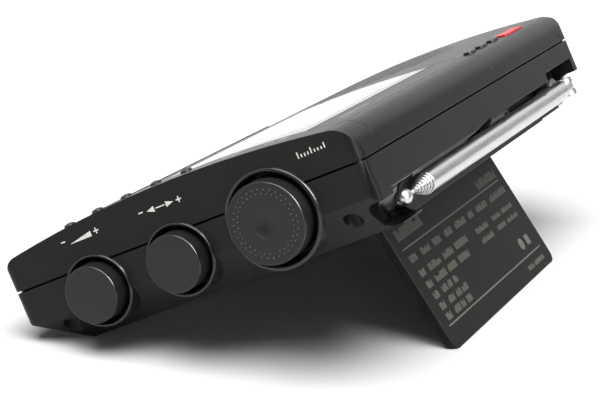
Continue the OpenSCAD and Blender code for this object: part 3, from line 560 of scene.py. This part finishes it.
marks("volume_print", [
    rect(-35.7, 28.15, -34.3, 28.5),
    [(-33.2, 27.1), (-25.6, 27.1), (-25.6, 28.6)],
    plus(-23.8, 28.1, 1.7, 0.36),
], on_side, INK, "cabinet")
marks("fine_print", [
    rect(-9.4, 27.85, -8.0, 28.2),
    [(-6.9, 27.75), (-4.4, 28.55), (-4.4, 26.95)],
    rect(-3.9, 27.6, -1.0, 27.9),
    [(1.9, 27.75), (-0.6, 28.55), (-0.6, 26.95)],
    plus(3.6, 27.75, 1.7, 0.36),
], on_side, INK, "cabinet")
marks("tuning_print", [
    rect(40.6 + i, 26.0 + i * 0.03, 40.95 + i, 27.7 if i % 4 == 0 else 26.95) for i in range(9)
], on_side, INK, "cabinet")


def word(a0, a1, b0, b1, stroke=0.42, gap=0.3, split=()):
    """A stretch of plain upright strokes in place of words, with gaps at the fractions in split."""
    out, a = [], a0
    while a + stroke <= a1:
        share = (a - a0) / (a1 - a0)
        if not any(abs(share - s) < 0.018 for s in split):
            low = b0 + (b1 - b0) * random.choice((0, 0, 0, 0.3))
            out.append(rect(a, low, a + stroke, b1))
        a += stroke + gap
    return out


marks("stand_rules", [rect(4.3, 12.9, 90.3, 13.3), rect(4.3, 37.3, 91.0, 37.75)],
      on_stand, FAINT_INK, "flip_stand")
marks("stand_heading", word(5.2, 26.0, 7.3, 10.6, 0.7, 0.65) + word(73.0, 91.0, 9.2, 12.0, 0.6, 0.7),
      on_stand, FAINT_INK, "flip_stand")
rows = word(5.2, 91.0, 15.4, 17.5, 0.42, 0.34, split=(0.08, 0.2, 0.31, 0.42, 0.56, 0.65, 0.8))
for b, end in ((20.2, 46.3), (23.9, 42.4), (27.4, 26.4), (30.9, 29.6), (34.2, 27.4)):
    rows += word(6.0, 10.2, b, b + 2.1, 0.5, 0.3)
    rows += word(13.0, end, b, b + 2.1, 0.45, 0.36, split=(0.3, 0.34, 0.62, 0.66))
for b in (20.9, 24.3):
    rows += word(54.4, 65.2, b, b + 1.7, 0.42, 0.34)
    rows += word(69.8, 89.6, b, b + 1.5, 0.42, 0.36, split=(0.4, 0.45))
rows += word(73.6, 89.8, 40.0, 41.5, 0.4, 0.32, split=(0.36, 0.6))
marks("stand_rows", rows, on_stand, FAINT_INK, "flip_stand")
marks("stand_symbols", [disc(79.0, 33.4, 1.9), rect(83.4, 31.8, 86.6, 35.0)],
      on_stand, FAINT_INK, "flip_stand")

# Key legends: numbers on the number keys, plain signs on the rest
DIGIT_U, DIGIT_V, LOW_RISE = (-5, 14, 33, 52, 71), (-20, -31), 0.25
for i in range(10):
    digit = (i + 1) % 10
    numerals(f"digit_legend_{digit}", [(str(digit), DIGIT_U[i % 5], DIGIT_V[i // 5], 3.0)],
             over_key(LOW_RISE), LEGEND_INK, f"digit_key_{digit}")
for i, u in enumerate((14, 52)):
    way = (-1, 1)[i]
    arrow = [(u + way * 1.6, -42), (u - way * 1.4, -42 - way), (u - way * 1.4, -42 + way)]
    marks(f"band_legend_{i + 1}", [arrow], over_key(LOW_RISE), LEGEND_INK, f"band_key_{i + 1}")

# Small marks beside the keys and on the light bar
small = []
for u in DIGIT_U:
    for v in (-25.6, -36.4):
        small += [rect(u - 3.2 + 1.1 * k, v - 0.35, u - 2.4 + 1.1 * k, v + 0.35) for k in range(6)]
for u in (-22.5, -33.5, -44.5):
    small += [rect(u - 1.8 + 1.0 * k, 45.6, u - 1.1 + 1.0 * k, 46.3) for k in range(4)]
small += [rect(-65 + 1.1 * k, 45.4, -64.2 + 1.1 * k, 46.2) for k in range(6)]
for k, v in enumerate((16.4, 19.2, 29.6, 34.0)):
    small += [rect(82.4, v, 87.2, v + 0.7), rect(83.2, v + 1.3, 86.4 + 0.6 * (k % 2), v + 1.7)]
marks("face_print", small, on_face, LEGEND_INK, "cabinet", low=-0.02, high=0.02)
bar_print = [rect(50 + 1.15 * k, 44.6, 50.75 + 1.15 * k, 45.5) for k in range(18)]
marks("light_bar_print", bar_print, on_face, LEGEND_INK, "light_bar", low=-0.02,
      high=0.02)


# ---------------------------------------------------------------- display


def patch(name, u0, u1, v0, v1, low, high, material, body):
    """A thin sheet that follows the face."""
    bm = bmesh.new()
    steps = 24
    rings = [[(u0, v0 + (v1 - v0) * i / steps) for i in range(steps + 1)],
             [(u1, v0 + (v1 - v0) * i / steps) for i in range(steps + 1)]]
    tops = [[bm.verts.new(on_face(a, b, high)) for a, b in ring] for ring in rings]
    lows = [[bm.verts.new(on_face(a, b, low)) for a, b in ring] for ring in rings]
    for i in range(steps):
        bm.faces.new((tops[0][i], tops[1][i], tops[1][i + 1], tops[0][i + 1]))
        bm.faces.new((lows[0][i], lows[0][i + 1], lows[1][i + 1], lows[1][i]))
        for t, l in zip(tops, lows):
            bm.faces.new((t[i], t[i + 1], l[i + 1], l[i]))
    for i in (0, steps):
        bm.faces.new((tops[0][i], tops[1][i], lows[1][i], lows[0][i]))
    return finish_piece(name, bm, material, body)


patch("display_window", -7, 73, 4.5, 36.0, -0.05, -0.004, MATERIALS["display"], "cabinet")

# The lit bars of each digit that the display shows, in the order in which they are made
SEGMENTS = {"0": "abcdef", "1": "bc", "2": "abged", "3": "abgcd", "4": "fgbc", "5": "afgcd"}


def seven(digit, a, b, size):
    """One seven-segment digit, leaning a little, with its low left corner at (a, b)."""
    w, h, t = size * 0.52, size, size * 0.1
    bars = {"a": (t, h - t, w - t, h), "d": (t, 0, w - t, t),
            "g": (t, h / 2 - t / 2, w - t, h / 2 + t / 2),
            "f": (0, h / 2 + t * 0.6, t, h - t * 0.4), "e": (0, t * 0.4, t, h / 2 - t * 0.6),
            "b": (w - t, h / 2 + t * 0.6, w, h - t * 0.4), "c": (w - t, t * 0.4, w, h / 2 - t * 0.6)}
    out = []
    for s in SEGMENTS[digit]:
        x0, y0, x1, y1 = bars[s]
        out.append([(a + x + 0.12 * y, b + y) for x, y in rect(x0, y0, x1, y1)])
    return out


lit = []
for i, d in enumerate("12345"):
    lit += seven(d, 6 + i * 9.6, 12, 13)
lit += [disc(43.6, 12.6, 0.7)]  # the decimal point
for i, d in enumerate("1200"):
    lit += seven(d, 57 + i * 3.6, 29, 5)
lit += [rect(-3 + 3.2 * i, 29, -1 + 3.2 * i, 30 + 0.9 * i) for i in range(5)]
lit += [rect(16 + 7 * i, 30, 20.5 + 7 * i, 31.2) for i in range(5)]
lit += [rect(-3 + 8 * i, 6.4, 2 + 8 * i, 7.6) for i in range(9)]
marks("display_segments", lit, on_face, SEGMENT_INK, "cabinet", low=-0.03, high=0.0)


# ---------------------------------------------------------------- aerial

# The outer section's radius and end, and how much smaller and further on each next one is
AERIAL_R, AERIAL_END = 3.15, 57
SECTION_STEP_R, SECTION_STEP_U = 0.36, 1.35

# A rolled lip at the end of each section that takes in another
for i in range(1, 7):
    end = AERIAL_END + (i - 1) * SECTION_STEP_U
    r = AERIAL_R - (i - 1) * SECTION_STEP_R
    bm = bmesh.new()
    arc = [(end - 0.1 + 0.17 * math.sin(t), r - 0.12 + 0.15 * math.cos(t))
           for t in (2 * math.pi * k / 14 for k in range(14))]
    lathe_x(bm, AERIAL_V, AERIAL_W, arc, 64, closed=True)
    finish_piece(f"aerial_lip_{i}", bm, MATERIALS["chrome"], f"aerial_section_{i}")

# The bulb at the aerial's tip, on its thin neck
bm = bmesh.new()
tip = [(64.0, 0.0), (64.0, 0.72), (69.9, 0.72), (70.4, 0.95), (70.7, 1.75), (71.2, 2.1), (72.1, 2.3),
       (73.1, 2.33), (74.0, 2.16), (74.6, 1.8), (75.05, 1.2), (75.22, 0.6), (75.26, 0.0)]
lathe_x(bm, AERIAL_V, AERIAL_W, tip, 64)
cap = finish_piece("aerial_tip_cap", bm, MATERIALS["chrome"], "aerial_section_7", smooth=60)
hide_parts("aerial_tip")


# ---------------------------------------------------------------- stage

floor_mesh = bpy.data.meshes.new("floor")
bm = bmesh.new()
bmesh.ops.create_grid(bm, x_segments=1, y_segments=1, size=12)
bm.to_mesh(floor_mesh)
bm.free()
floor = bpy.data.objects.new("floor", floor_mesh)
bpy.context.scene.collection.objects.link(floor)
paper = Nodes("floor_paper")
paper.link(paper.mix(paper.noise(8.0), (0.9, 0.9, 0.9), (0.92, 0.92, 0.92)),
           paper.bsdf.inputs["Base Color"])
paper.bsdf.inputs["Roughness"].default_value = 0.7
paper.bsdf.inputs["Specular IOR Level"].default_value = 0.2
floor_mesh.materials.append(paper.mat)

world = bpy.data.worlds.new("studio")
bpy.context.scene.world = world
world.use_nodes = True
world.node_tree.nodes["Background"].inputs["Color"].default_value = (1, 1, 1, 1)
world.node_tree.nodes["Background"].inputs["Strength"].default_value = 1.0
world.cycles_visibility.diffuse = False


def direction(azimuth, elevation):
    """A unit vector away from the object. Azimuth 0 is to its front, and 90 to its knob end."""
    a, e = math.radians(azimuth), math.radians(elevation)
    return Vector((math.sin(a) * math.cos(e), -math.cos(a) * math.cos(e), math.sin(e)))


def softbox(name, azimuth, elevation, distance, size, power, diffuse=True, glossy=True):
    """A soft light aimed at the middle. One without diffuse only gives highlights."""
    light = bpy.data.lights.new(name, "AREA")
    light.shape, light.size, light.size_y, light.energy = "RECTANGLE", size[0], size[1], power
    obj = bpy.data.objects.new(name, light)
    obj.location = direction(azimuth, elevation) * distance
    obj.rotation_euler = (-obj.location).to_track_quat("-Z", "Y").to_euler()
    obj.visible_diffuse, obj.visible_glossy = diffuse, glossy
    bpy.context.scene.collection.objects.link(obj)


softbox("overhead", 113, 75, 6.0, (6.0, 6.0), 640)
softbox("key", 160, 42, 1.3, (0.8, 0.7), 40, diffuse=False)
softbox("fill", 118, 6, 1.1, (0.7, 0.2), 2.0, glossy=False)


def flag(name, azimuth, distance, width, height, tone):
    """A dark upright card that only shows in reflections, as a studio stands beside its set."""
    mesh = bpy.data.meshes.new(name)
    out, along = direction(azimuth, 0), direction(azimuth + 90, 0)
    corners = [out * distance + along * (x * width / 2) + Vector((0, 0, z)) for x, z in
               ((-1, 0.02), (1, 0.02), (1, height), (-1, height))]
    mesh.from_pydata(corners, [], [(0, 1, 2, 3)])
    card = bpy.data.objects.new(name, mesh)
    bpy.context.scene.collection.objects.link(card)
    cloth = Nodes(name + "_cloth")
    cloth.link(cloth.mix(cloth.noise(40.0), (tone,) * 3, (tone * 1.2,) * 3),
               cloth.bsdf.inputs["Base Color"])
    cloth.bsdf.inputs["Roughness"].default_value = 0.9
    cloth.bsdf.inputs["Specular IOR Level"].default_value = 0.0
    mesh.materials.append(cloth.mat)
    card.visible_camera = card.visible_diffuse = card.visible_shadow = False


flag("right_flag", 222, 1.5, 2.0, 1.0, 0.4)
flag("near_flag", 100, 1.3, 1.9, 1.1, 0.03)

scene = bpy.context.scene
scene.view_settings.view_transform = "Standard"
scene.view_settings.look = "None"

# The camera looks at AIM from REACH metres away, in the direction AZIMUTH, ELEVATION
AZIMUTH, ELEVATION, REACH = 113.238, 14.901, 0.5976
AIM = Vector((0.0058, -0.0072, 0.0246))
camera_data = bpy.data.cameras.new("camera")
camera = bpy.data.objects.new("camera", camera_data)
scene.collection.objects.link(camera)
scene.camera = camera
camera_data.sensor_width = 36.0
camera_data.lens = 118.06
camera_data.clip_start, camera_data.clip_end = 0.01, 50
toward = direction(AZIMUTH, ELEVATION)
camera.location = AIM + toward * REACH
camera.rotation_euler = (-toward).to_track_quat("-Z", "Y").to_euler()

bpy.context.view_layer.update()
